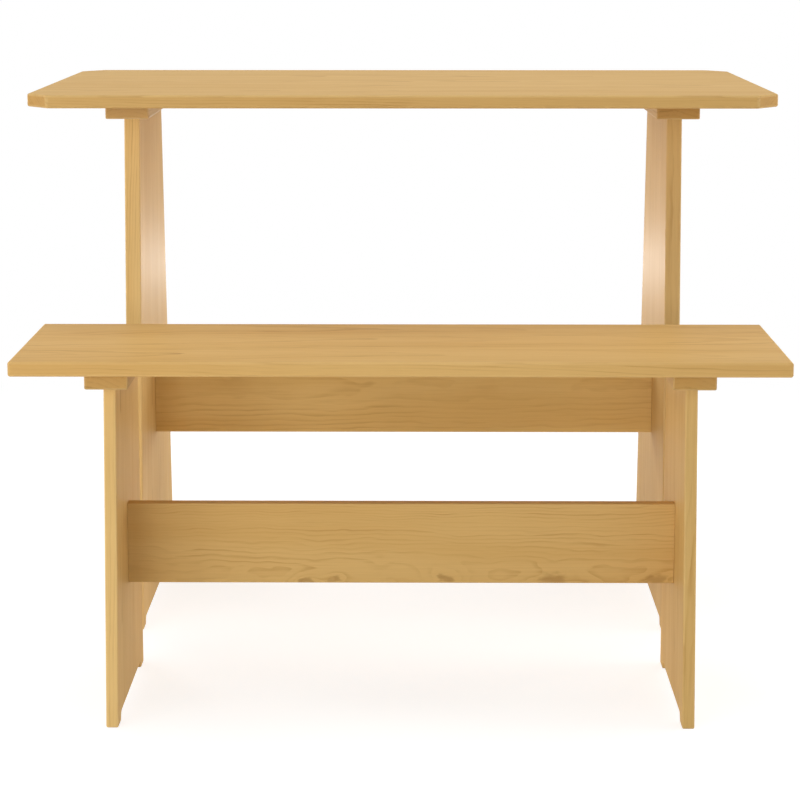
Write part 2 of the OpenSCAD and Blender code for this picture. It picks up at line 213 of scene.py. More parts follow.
def new_material(name: str) -> tuple[Material, Adder]:
    """Makes an empty node material.

    Args:
        name: Name of the real material.

    Returns:
        The material, and what adds a node to it.
    """
    material = bpy.data.materials.new(name)
    material.use_nodes = True
    material.node_tree.nodes.clear()
    return material, partial(add_node, material.node_tree)


class Solid:
    """A closed mesh under construction, shaped by bmesh operators."""

    def __init__(self) -> None:
        """Starts with nothing."""
        self.mesh = bmesh.new()

    @classmethod
    def block(cls, box: Box) -> "Solid":
        """Makes a rectangular block.

        Args:
            box: Its corners.

        Returns:
            The block.
        """
        made = cls()
        place = Matrix.Translation(box.middle) @ Matrix.Diagonal((*box.size, 1.0))
        bmesh.ops.create_cube(made.mesh, size=1.0, matrix=place)
        return made

    @classmethod
    def swept(cls, outline: Sequence[Vector], run: Vector) -> "Solid":
        """Sweeps a flat outline along a straight line.

        Args:
            outline: Corners of the outline, in order.
            run: Length and direction of the sweep.

        Returns:
            The prism.
        """
        made = cls()
        face = made.mesh.faces.new([made.mesh.verts.new(point) for point in outline])
        made.drawn_out(face, run)
        return made.facing_out()

    @classmethod
    def turned(cls, profile: Sequence[tuple[float, float]], steps: int = 32, climb: float = 0.0) -> "Solid":
        """Turns a profile once round the Z axis.

        Args:
            profile: Radius and height of each point, from one end to the other.
            steps: Number of flats round the axis.
            climb: Rise in that turn, for a thread.

        Returns:
            The round solid with closed ends.
        """
        made = cls()
        mesh = made.mesh
        verts = [mesh.verts.new((radius, 0.0, height)) for radius, height in profile]
        geom = verts + [mesh.edges.new(pair) for pair in zip(verts, verts[1:])]
        turn = {"cent": (0, 0, 0), "axis": UP, "dvec": UP * climb / steps, "angle": math.tau}
        bmesh.ops.spin(mesh, geom=geom, steps=steps, use_merge=not climb, **turn)
        bmesh.ops.remove_doubles(mesh, verts=mesh.verts, dist=SAME_PLACE)
        bmesh.ops.holes_fill(mesh, edges=[edge for edge in mesh.edges if edge.is_boundary], sides=0)
        return made.facing_out()

    @classmethod
    def threaded(cls, crest: float, root: float, pitch: float, length: float, steps: int) -> "Solid":
        """Makes a length of screw thread that rises from the origin along Z.

        Args:
            crest: Radius at the top of the thread.
            root: Radius at its bottom.
            pitch: Rise in one turn.
            length: Length of the threaded part, ends included.
            steps: Number of flats in one turn.

        Returns:
            The thread with closed ends.
        """
        profile = [(root, 0.0)]
        for turn in range(max(1, round(length / pitch) - 1)):
            profile += [(crest, (turn + 0.5) * pitch), (root, (turn + 1) * pitch)]
        return cls.turned(profile, steps, pitch)

    def drawn_out(self, face: BMFace, run: Vector, scale: float = 1.0) -> BMFace:
        """Draws a face out along a straight line.

        Args:
            face: The face.
            run: Length and direction of the line.
            scale: Width about the Z axis at the line's end, against that at its start.

        Returns:
            The face at the end.
        """
        # With its edges named, a face within a solid goes, and only a first one stays as the base
        start = [face, *face.edges, *face.verts]
        swept = bmesh.ops.extrude_face_region(self.mesh, geom=start)["geom"]
        verts = [item for item in swept if isinstance(item, BMVert)]
        bmesh.ops.scale(self.mesh, vec=(scale, scale, 1.0), verts=verts)
        bmesh.ops.translate(self.mesh, verts=verts, vec=run)
        return next(item for item in swept if isinstance(item, BMFace))

    def facing_out(self) -> "Solid":
        """Turns every face outwards and returns this solid."""
        bmesh.ops.recalc_face_normals(self.mesh, faces=self.mesh.faces)
        return self

    def placed(self, place: Matrix) -> "Solid":
        """Turns and moves the whole solid and returns it."""
        bmesh.ops.transform(self.mesh, matrix=place, verts=self.mesh.verts)
        return self

    def join(self, others: Iterable["Solid"]) -> "Solid":
        """Takes other solids into this mesh as separate shells, and returns this solid.

        Args:
            others: Solids that are used up.

        Returns:
            This solid.
        """
        for other in others:
            carrier = bpy.data.meshes.new("carrier")
            other.mesh.to_mesh(carrier)
            other.mesh.free()
            self.mesh.from_mesh(carrier)
            bpy.data.meshes.remove(carrier)
        return self

    def copy(self) -> "Solid":
        """Makes a second solid of the same shape.

        Returns:
            The copy.
        """
        twin = Solid()
        twin.mesh.free()
        twin.mesh = self.mesh.copy()
        return twin

    def sharp_edges(self) -> list[BMEdge]:
        """Lists the edges that aren't within a round surface."""
        return [edge for edge in self.mesh.edges if edge.calc_face_angle(0.0) > SMOOTH_ANGLE]

    def rounded(self, edges: Iterable[BMEdge], radius: float, segments: int) -> "Solid":
        """Rounds edges, marks the round part in the arris layer, and returns this solid.

        Args:
            edges: Edges to round.
            radius: Radius on a square edge.
            segments: Flats across the rounding.

        Returns:
            This solid.
        """
        layers = self.mesh.faces.layers.float
        layer = layers.get(ARRIS_LAYER) or layers.new(ARRIS_LAYER)
        made = bmesh.ops.bevel(
            self.mesh,
            geom=list(edges),
            offset=radius,
            offset_type="OFFSET",
            affect="EDGES",
            segments=segments,
            profile=0.5,
            material=-1,
            clamp_overlap=False,
        )
        for face in made["faces"]:
            face[layer] = 1.0
        return self

    def cut(self, tools: Iterable["Solid"]) -> "Solid":
        """Takes other solids away from this one, and returns this solid.

        Args:
            tools: Solids that are used up.

        Returns:
            This solid.
        """
        board = self.as_object("board_to_cut")
        cutter = Solid().join(tools).as_object("cutter")
        knife = board.modifiers.new("bores", "BOOLEAN")
        knife.object = cutter
        knife.operation = "DIFFERENCE"
        knife.solver = "EXACT"
        knife.use_self = True
        state = bpy.context.evaluated_depsgraph_get()
        result = bpy.data.meshes.new_from_object(board.evaluated_get(state), depsgraph=state)
        self.mesh.free()
        self.mesh = bmesh.new()
        self.mesh.from_mesh(result)
        for mesh in (result, board.data, cutter.data):
            bpy.data.meshes.remove(mesh)
        return self

    def as_object(self, name: str) -> Object:
        """Puts a copy of the mesh in the scene.

        Args:
            name: Name of the object and its mesh.

        Returns:
            The object, at the origin.
        """
        data = bpy.data.meshes.new(name)
        self.mesh.to_mesh(data)
        made = bpy.data.objects.new(name, data)
        bpy.context.scene.collection.objects.link(made)
        return made

    def finished(self, name: str, material: Material) -> Object:
        """Ends the construction: puts the piece in the scene, smooth across its roundings.

        Args:
            name: Name of the piece.
            material: Its finish.

        Returns:
            The finished object, at the origin.
        """
        made = self.as_object(name)
        self.mesh.free()
        made.data.shade_smooth()
        made.data.set_sharp_from_angle(angle=SMOOTH_ANGLE)
        made.data.materials.append(material)
        flats = made.modifiers.new("flats_stay_flat", "WEIGHTED_NORMAL")
        flats.keep_sharp = True
        return made


def pointing(start: Vector, way: Vector) -> Matrix:
    """Gives the place of a shape made along Z, whose origin goes to the start and whose Z goes that way."""
    return Matrix.Translation(start) @ way.to_track_quat("Z", "Y").to_matrix().to_4x4()


def dress(piece: Object, body: str, slot: str, *nodes: str) -> None:
    """Ties a finished piece to the frame.

    Args:
        piece: The finished piece.
        body: Body of the frame that it moves with.
        slot: Not used.
        *nodes: Nodes of the frame that it stands for.
    """
    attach(piece, body)
    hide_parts(*nodes)
    LOG.info("%s: %d faces on %s", piece.name, len(piece.data.polygons), body)


@dataclass(frozen=True)
class Knot:
    """Branch in a board, by its place from the board's middle and the half width of its dark heart."""

    along_mm: float
    across_mm: float
    radius_mm: float
    # How far the growth rings swell where they pass round the branch
    swell_mm: float = 5.0
    darkness: float = 0.45


@dataclass(frozen=True)
class Figure:
    """Random pattern in wood: its size along and across the fibres, its finer layers and their strength."""

    along_mm: float
    across_mm: float
    detail: float = 1.0
    roughness: float = 0.55


@dataclass(frozen=True)
class Pine:
    """Planed pine of one board, stained honey and sealed with satin varnish.

    Slow-grown softwood shows pale early wood between thin brown late-wood lines. The rings are solid
    cylinders round a pith beside the board, so faces, edges and end grain agree.
    """

    # Frame node of the board
    node: str
    grain: Grain
    # Lean of the fibres towards the back, so that they follow a leg's front edge
    lean_deg: float = 0.0
    # Place of the pith from the board's middle line, and its turn against the board's length: across, deep
    pith_mm: tuple[float, float] = (10.0, -60.0)
    tilt_deg: tuple[float, float] = (0.6, 1.2)
    # Distance between growth rings
    ring_mm: float = 3.6
    # Width of the glued staves and the share of one by which their joints are moved
    stave_mm: float = 100.0
    stave_shift: float = 0.0
    # Length of tree in which each stave has its own place, so that no two have the same figure
    tree_mm: float = 4000.0
    # Random spread of the pith from stave to stave
    spread_mm: float = 0.0
    # Slow and quick waviness of the rings
    wave_mm: float = 7.0
    wave: Figure = Figure(300.0, 75.0, 3.0, 0.42)
    ripple_mm: float = 1.3
    ripple: Figure = Figure(46.0, 14.0, 2.0, 0.5)
    # Darkness through a year: late wood darkens slowly in summer and stops sharply at the winter's line
    summer: tuple[tuple[float, float], ...] = ((0.45, 0.08), (0.82, 0.85), (0.9, 1.0))
    # How far the late-wood lines show, from 0 to 1, and the share of that in the faintest year
    contrast: float = 0.62
    faintest: float = 0.3
    # Patches where the lines fade, and short breaks in them
    fading: Figure = Figure(260.0, 60.0)
    fading_span: Span = (0.3, 0.7, 0.35, 1.0)
    breaks: Figure = Figure(85.0, 5.0, 2.0)
    breaks_span: Span = (0.36, 0.6, 0.25, 1.0)
    # Fine fibres, as dark streaks, as a change of sheen and as relief, and how high they stand in it
    fibre: Figure = Figure(70.0, 0.9, 3.0)
    streak_span: Span = (0.42, 0.74, 0.0, 0.16)
    sheen_span: Span = (0.3, 0.7, 0.6, 0.7)
    relief_mm: float = 0.05
    relief_strength: float = 0.25
    fibre_relief: float = 0.5
    # Warmer patches of stain
    cloud: Figure = Figure(520.0, 42.0)
    cloud_span: Span = (0.35, 0.72, 0.0, 0.34)
    # Where a face counts as sawn across the fibres, and how much lighter a rounded arris is painted: stain
    # thinned by sandpaper there, and a painted highlight
    sawn_span: Span = (0.5, 0.85, 0.0, 1.0)
    bare_span: Span = (0.0, 1.0, 0.0, 0.22)
    knots: tuple[Knot, ...] = ()
    # Unevenness of a knot's outline
    jolt_mm: float = 14.0
    jolt: Figure = Figure(14.0, 7.0, 2.0, 0.5)
    # Reach of a knot's brown, squared, and of its swelling, in half widths, and its length against its width
    knot_fade: float = 2.2
    knot_swelling: float = 3.0
    knot_stretch: float = 2.0
    # Chance number of the board, and how far one unit of it moves the patterns
    seed: float = 0.0
    seed_move: float = 7.3
    # Red, green and blue against the set's common tone, because each board comes from another tree; on the
    # left boards the paler, bluer tint is also a painted sheen of the light from the left
    tint: Tint = (1.0, 1.0, 1.0)
    early: str = "#D8B071"
    late: str = "#AC7A3C"
    warm: str = "#C6954F"
    knot_heart: str = "#8A5F2C"
    # Colour of a rounded arris: stain thinned by sandpaper, and a painted highlight
    sanded_and_highlight: str = "#E2C088"
    # Sawn ends drink more stain
    end_grain: str = "#C69856"
    end_ring: str = "#8A6032"
    # What the wood itself mirrors, and its varnish: how much lies on it and how blurred that mirrors
    ior: float = 1.5
    wood_gloss: float = 0.03
    varnish: float = 0.155
    varnish_roughness: float = 0.4

    def material(self) -> Material:
        """Builds the finish.

        Returns:
            The material.
        """
        material, add = new_material(f"pine_{self.node}")
        place = add("TexCoord", output="Object")
        # Own axes of the board in millimetres: x along the fibres, y across the face, z deep
        middle = box_of(self.node).middle
        board = add("Mapping", (place, middle, self._turn(), (MM,) * 3), vector_type="TEXTURE")
        stave, chance = self._staves(add, board)
        rings = self._rings(add, board, stave, chance)
        fibre = self._figure(add, stave, self.fibre)
        sawn = self._sawn(add, place.node.outputs["Normal"])
        pale, dark = (
            add("Mix", {SHARE: sawn, FROM: self._tone(face), TO: self._tone(end)}, MIXED, data_type="RGBA")
            for face, end in ((self.early, self.end_grain), (self.late, self.end_ring))
        )
        colour = add("Mix", {SHARE: rings, FROM: pale, TO: dark}, MIXED, data_type="RGBA")
        # Darker fibres, patches of stain, knots, and bared arrises with a painted highlight, each laid over
        # what is there
        cloud = self._figure(add, stave, self.cloud)
        veils = [(fibre, self.streak_span, self.late), (cloud, self.cloud_span, self.warm)]
        ragged = self._ragged(add, board) if self.knots else board
        for knot in self.knots:
            heart = self._knot_reach(add, ragged, knot, 1.0)
            veils.append((heart, (0.0, self.knot_fade, knot.darkness, 0.0), self.knot_heart))
        # Rounded arrises are painted lighter: stain thinned by sandpaper, and a painted highlight
        arris = add("Attribute", output="Fac", attribute_name=ARRIS_LAYER)
        veils.append((arris, self.bare_span, self.sanded_and_highlight))
        for value, span, sheet_colour in veils:
            share = add("MapRange", (value, *span), interpolation_type="SMOOTHSTEP")
            tones = {SHARE: share, FROM: colour, TO: self._tone(sheet_colour)}
            colour = add("Mix", tones, MIXED, data_type="RGBA")
        relief = add("Math", (fibre, self.fibre_relief, rings), operation="MULTIPLY_ADD")
        bump = {"Height": relief, "Strength": self.relief_strength, "Distance": self.relief_mm * MM}
        surface = {
            "Base Color": colour,
            "Roughness": add("MapRange", (fibre, *self.sheen_span), interpolation_type="SMOOTHSTEP"),
            "IOR": self.ior,
            "Specular IOR Level": self.wood_gloss,
            "Normal": add("Bump", bump),
            "Coat Weight": self.varnish,
            "Coat Roughness": self.varnish_roughness,
            "Coat IOR": self.ior,
        }
        add("OutputMaterial", (add("BsdfPrincipled", surface),))
        return material

    def _tone(self, sheet_colour: str) -> tuple[float, ...]:
        """Gives a colour of this board in linear values."""
        return *(value * share for value, share in zip(linear(sheet_colour), self.tint)), 1.0

    def _turn(self) -> Euler:
        """Gives the turn from the board's axes to the frame's."""
        lean = Matrix.Rotation(-math.radians(self.lean_deg), 3, "X")
        return (lean @ Euler(self.grain.value).to_matrix()).to_euler()

    def _sawn(self, add: Adder, normal: NodeSocket) -> NodeSocket:
        """Tells sawn ends from long faces.

        Args:
            add: Adds a node to the material.
            normal: Where the surface faces.

        Returns:
            1 on end grain and 0 on long grain.
        """
        fibres = RIGHTWARD.copy()
        fibres.rotate(self._turn())
        facing = add("VectorMath", (normal, fibres), "Value", operation="DOT_PRODUCT")
        facing = add("Math", (facing,), operation="ABSOLUTE")
        return add("MapRange", (facing, *self.sawn_span), interpolation_type="SMOOTHSTEP")

    def _staves(self, add: Adder, board: NodeSocket) -> tuple[NodeSocket, NodeSocket]:
        """Divides the board into staves, each with its own stretch of wood.

        Args:
            add: Adds a node to the material.
            board: Point in the board's axes.

        Returns:
            The point in its stave's own axes, and three chance values of the stave.
        """
        along, across, deep = add("SeparateXYZ", (board,)).node.outputs
        in_staves = (across, 1 / self.stave_mm, 0.5 + self.stave_shift)
        count = add("Math", in_staves, operation="MULTIPLY_ADD")
        number = add("Math", (count,), operation="FLOOR")
        seeded = add("Math", (number, self.seed), operation="ADD")
        chance = add("TexWhiteNoise", {"W": seeded}, "Color", noise_dimensions="1D")
        part = add("Math", (count, number), operation="SUBTRACT")
        inner = add("Math", (part, self.stave_mm, -self.stave_mm / 2), operation="MULTIPLY_ADD")
        own = add("CombineXYZ", (along, inner, deep))
        return add("VectorMath", (chance, (self.tree_mm, 0.0, 0.0), own), operation="MULTIPLY_ADD"), chance

    def _rings(self, add: Adder, board: NodeSocket, stave: NodeSocket, chance: NodeSocket) -> NodeSocket:
        """Draws the late-wood lines of the growth rings.

        Args:
            add: Adds a node to the material.
            board: Point in the board's axes.
            stave: Point in the stave's axes.
            chance: Chance values of the stave.

        Returns:
            Darkness of the late wood, from 0 to 1.
        """
        moved = stave
        for sway, reach in (
            (self._figure(add, stave, self.wave, "Color"), 2 * self.wave_mm),
            (self._figure(add, stave, self.ripple, "Color"), 2 * self.ripple_mm),
            (chance, self.spread_mm),
        ):
            moved = add("VectorMath", (sway, (0.0, reach, reach), moved), operation="MULTIPLY_ADD")
        # Centres the chance moves, then turns to the pith and flattens the length away
        mean = self.wave_mm + self.ripple_mm + self.spread_mm / 2
        pith = (0.0, self.pith_mm[0] + mean, self.pith_mm[1] + mean)
        tilt = (0.0, math.radians(self.tilt_deg[1]), math.radians(self.tilt_deg[0]))
        from_pith = add("Mapping", (moved, pith, tilt, (FLAT, 1.0, 1.0)), vector_type="TEXTURE")
        radius = add("VectorMath", (from_pith,), "Value", operation="LENGTH")
        for knot in self.knots:
            reach = self._knot_reach(add, board, knot, self.knot_swelling)
            bell = add("Math", (math.exp(-1), reach), operation="POWER")
            radius = add("Math", (bell, knot.swell_mm, radius), operation="MULTIPLY_ADD")
        years = add("Math", (radius, 1 / self.ring_mm, self.seed), operation="MULTIPLY_ADD")
        year = add("Math", (years,), operation="FLOOR")
        shown = add("ValToRGB", (add("Math", (years,), operation="FRACT"),))
        ramp = shown.node.color_ramp
        ramp.interpolation = "EASE"
        for at, shade in self.summer:
            ramp.elements.new(at).color = (shade, shade, shade, 1.0)
        for winter in (0, -1):
            ramp.elements[winter].color = (0.0, 0.0, 0.0, 1.0)
        luck = add("TexWhiteNoise", {"W": year}, noise_dimensions="1D")
        for value, span in (
            (luck, (0.0, 1.0, self.faintest, 1.0)),
            (self._figure(add, stave, self.fading), self.fading_span),
            (self._figure(add, stave, self.breaks), self.breaks_span),
        ):
            share = add("MapRange", (value, *span), interpolation_type="SMOOTHSTEP")
            shown = add("Math", (shown, share), operation="MULTIPLY")
        return add("Math", (shown, self.contrast), operation="MULTIPLY")

    def _figure(self, add: Adder, point: NodeSocket, figure: Figure, output: str = "Fac") -> NodeSocket:
        """Reads a random pattern of the wood, moved by the seed.

        Args:
            add: Adds a node to the material.
            point: Point in millimetres.
            figure: The pattern.
            output: Fac for one value, or Color for three.

        Returns:
            The pattern at the point.
        """
        scale = (1 / figure.along_mm, 1 / figure.across_mm, 1 / figure.across_mm)
        scaled = add("Mapping", {0: point, "Location": (self.seed * self.seed_move,) * 3, "Scale": scale})
        noise = {"Vector": scaled, "Scale": 1.0, "Detail": figure.detail, "Roughness": figure.roughness}
        return add("TexNoise", noise, output)

    def _ragged(self, add: Adder, board: NodeSocket) -> NodeSocket:
        """Moves points a little at random, so that a knot gets an uneven outline.

        Args:
            add: Adds a node to the material.
            board: Point in the board's axes.

        Returns:
            The moved point.
        """
        reach = Vector((2 * self.jolt_mm, self.jolt_mm, 0.0))
        jolt = self._figure(add, board, self.jolt, "Color")
        moved = add("VectorMath", (jolt, reach, board), operation="MULTIPLY_ADD")
        return add("VectorMath", (moved, reach / 2), operation="SUBTRACT")

    def _knot_reach(self, add: Adder, point: NodeSocket, knot: Knot, widths: float) -> NodeSocket:
        """Measures how far a point is from a knot.

        Args:
            add: Adds a node to the material.
            point: Point in the board's axes.
            knot: The knot.
            widths: Half widths of the knot's heart that count as one.

        Returns:
            The squared distance.
        """
        reach = knot.radius_mm * widths
        centre = (knot.along_mm, knot.across_mm, 0.0)
        scale = (reach * self.knot_stretch, reach, FLAT)
        from_knot = add("Mapping", {0: point, "Location": centre, "Scale": scale}, vector_type="TEXTURE")
        return add("VectorMath", (from_knot, from_knot), "Value", operation="DOT_PRODUCT")


@dataclass(frozen=True)
class ZincSteel:
    """Bright zinc on mild steel: cool grey, with the soft mottling of a barrel-plated part."""

    colour: str = "#B9BCC0"
    dull: str = "#9EA1A6"
    # Size of the patches left by barrel plating, and their finer layers
    mottle_mm: float = 1.5
    mottle_detail: float = 3.0
    # Roughness of the bright and of the dull patches
    roughness: tuple[float, float] = (0.26, 0.42)
    relief_mm: float = 0.02
    relief_strength: float = 0.15

    def material(self) -> Material:
        """Builds the finish.

        Returns:
            The material.
        """
        material, add = new_material("zinc_plated_steel")
        patches = {"Scale": 1 / (self.mottle_mm * MM), "Detail": self.mottle_detail}
        mottle = add("TexNoise", {"Vector": add("TexCoord", output="Object"), **patches})
        tones = {SHARE: mottle, FROM: linear(self.colour), TO: linear(self.dull)}
        bump = {"Height": mottle, "Strength": self.relief_strength, "Distance": self.relief_mm * MM}
        surface = {
            "Base Color": add("Mix", tones, MIXED, data_type="RGBA"),
            "Metallic": 1.0,
            "Roughness": add("MapRange", (mottle, 0.0, 1.0, *self.roughness)),
            "Normal": add("Bump", bump),
        }
        add("OutputMaterial", (add("BsdfPrincipled", surface),))
        return material


@dataclass(frozen=True)
class Beech:
    """Raw steamed beech of a dowel: pinkish tan with short dark ray flecks along the fibres."""

    colour: str = "#D8B08A"
    fleck: str = "#A87850"
    # Length and width of a ray fleck
    fleck_mm: tuple[float, float] = (2.5, 0.4)
    fleck_span: Span = (0.55, 0.7, 0.0, 0.6)
    ior: float = 1.5
    roughness: float = 0.62
    relief_mm: float = 0.05
    relief_strength: float = 0.3

    def material(self) -> Material:
        """Builds the finish.

        Returns:
            The material.
        """
        material, add = new_material("steamed_beech")
        long, wide = (1 / (size * MM) for size in self.fleck_mm)
        scaled = add("Mapping", {0: add("TexCoord", output="Object"), "Scale": (long, wide, wide)})
        noise = add("TexNoise", {"Vector": scaled, "Scale": 1.0, "Detail": 1.0})
        flecks = add("MapRange", (noise, *self.fleck_span))
        tones = {SHARE: flecks, FROM: linear(self.colour), TO: linear(self.fleck)}
        bump = {"Height": noise, "Strength": self.relief_strength, "Distance": self.relief_mm * MM}
        surface = {
            "Base Color": add("Mix", tones, MIXED, data_type="RGBA"),
            "Roughness": self.roughness,
            "IOR": self.ior,
            "Normal": add("Bump", bump),
        }
        add("OutputMaterial", (add("BsdfPrincipled", surface),))
        return material


@dataclass(frozen=True)
class Bore:
    """Round blind hole with a softened mouth or a countersink."""

    mouth: Vector
    way: Vector
    radius: float
    depth: float
    # Radius at the mouth, and the straight part before it narrows
    mouth_radius: float = 0.0
    rim: float = 0.0
    # What a drill's burr leaves of the mouth's edge
    softening: float = 0.35 * MM

    def tool(self) -> Solid:
        """Makes the solid that cuts this hole.

        Returns:
            The solid, in its place.
        """
        wide = self.mouth_radius or self.radius + self.softening
        profile = [
            (0.0, -OVERCUT),
            (wide, -OVERCUT),
            (wide, self.rim),
            (self.radius, self.rim + wide - self.radius),
            (self.radius, self.depth),
            (0.0, self.depth),
        ]
        return Solid.turned(profile).placed(pointing(self.mouth, self.way))


def bore_for(item: Box, board: Box, way: Vector, radius: float, past: float = OVERRUN) -> Bore:
    """Gives the hole that a fastener needs in a board.

    Args:
        item: The fastener's box.
        board: The board's box.
        way: Direction of the drill.
        radius: Radius of the fastener.
        past: Free depth past the fastener's end.

    Returns:
        The hole, which passes the board where the fastener does.
    """
    mouth = item.middle + way * (board.toward(-way) - item.middle).dot(way)
    depth = (item.toward(way) - mouth).dot(way) + past
    return Bore(mouth, way, radius + PLAY, min(depth, abs(board.size.dot(way)) + OVERCUT))


@dataclass(frozen=True)
class ScrewKind:
    """Countersunk wood screw with a cross recess."""

    radius: float
    head_ratio: float = 2.0
    rim: float = 0.4 * MM
    tip: float = 5 * MM
    recess_width: float = 0.9 * MM
    recess_depth: float = 1.4 * MM
    # Length and width of the recess at its bottom, against those at its top
    recess_taper: tuple[float, float] = (0.45, 0.8)
    # Share of the length under the head that has no thread
    plain_share: float = 0.35
    pitch: float = 1.8 * MM
    root_share: float = 0.68
    # Width of the thread at the point, against its full width
    point_share: float = 0.15
    steps: int = 28
    thread_steps: int = 14

    @property
    def head_radius(self) -> float:
        """Radius of the flat of the head."""
        return self.radius * self.head_ratio

    def screw(self, length: float) -> Solid:
        """Makes one screw that points along Z, with the flat of its head at the origin.

        Args:
            length: Length over all.

        Returns:
            The screw.
        """
        root = self.radius * self.root_share
        plain_end = length * self.plain_share
        start = plain_end + self.radius - root
        taper_from = length - self.tip
        profile = [
            (0.0, 0.0),
            (self.head_radius, 0.0),
            (self.head_radius, self.rim),
            (self.radius, self.rim + self.head_radius - self.radius),
            (self.radius, plain_end),
            (root, start),
            (root, taper_from),
            (0.0, length),
        ]
        slots = []
        for turn in (0.0, math.pi / 2):
            half = Vector((self.radius, self.recess_width / 2, self.recess_depth))
            slot = Solid.block(Box(Vector((-half.x, -half.y, -OVERCUT)), half))
            foot = [vert for vert in slot.mesh.verts if vert.co.z > 0]
            bmesh.ops.scale(slot.mesh, vec=(*self.recess_taper, 1.0), verts=foot)
            slots.append(slot.placed(Matrix.Rotation(turn, 4, "Z")))
        core = Solid.turned(profile, self.steps).cut(slots)
        reach = length - start - self.tip / 2
        thread = Solid.threaded(self.radius, root * THREAD_SINK, self.pitch, reach, self.thread_steps)
        thread.placed(Matrix.Translation(UP * start))
        for vert in thread.mesh.verts:
            share = (vert.co.z - taper_from) / self.tip
            if share > 0:
                vert.co.xy *= max(self.point_share, 1 - share)
        return core.join([thread])


@dataclass(frozen=True)
class ScrewSet:
    """The screws of one frame node, all pointing the same way along Z."""

    node: str
    kind: ScrewKind
    way: Vector

    def bores_in(self, board: Box) -> list[Bore]:
        """Lists the holes that these screws need in a board.

        Args:
            board: The board's box.

        Returns:
            One hole for each screw that enters the board, countersunk where its head lies in the face.
        """
        found = []
        for solid in solids_of(self.node):
            head = solid.toward(-self.way)
            if board.low.x < head.x < board.high.x and board.low.y < head.y < board.high.y:
                bore = bore_for(solid, board, self.way, self.kind.radius)
                if abs(head.z - bore.mouth.z) < SAME_PLACE:
                    bore = replace(bore, mouth_radius=self.kind.head_radius + PLAY, rim=self.kind.rim)
                found.append(bore)
        return found

    def build(self, body: str, steel: Material) -> None:
        """Makes the screws as one piece.

        Args:
            body: Body that they move with.
            steel: Their finish.
        """
        solids = solids_of(self.node)
        pattern = self.kind.screw(solids[0].size.z)
        copies = [pattern.copy().placed(pointing(solid.toward(-self.way), self.way)) for solid in solids]
        pattern.mesh.free()
        dress(Solid().join(copies).finished(f"{self.node}_zinc", steel), body, "zinc_steel", self.node)


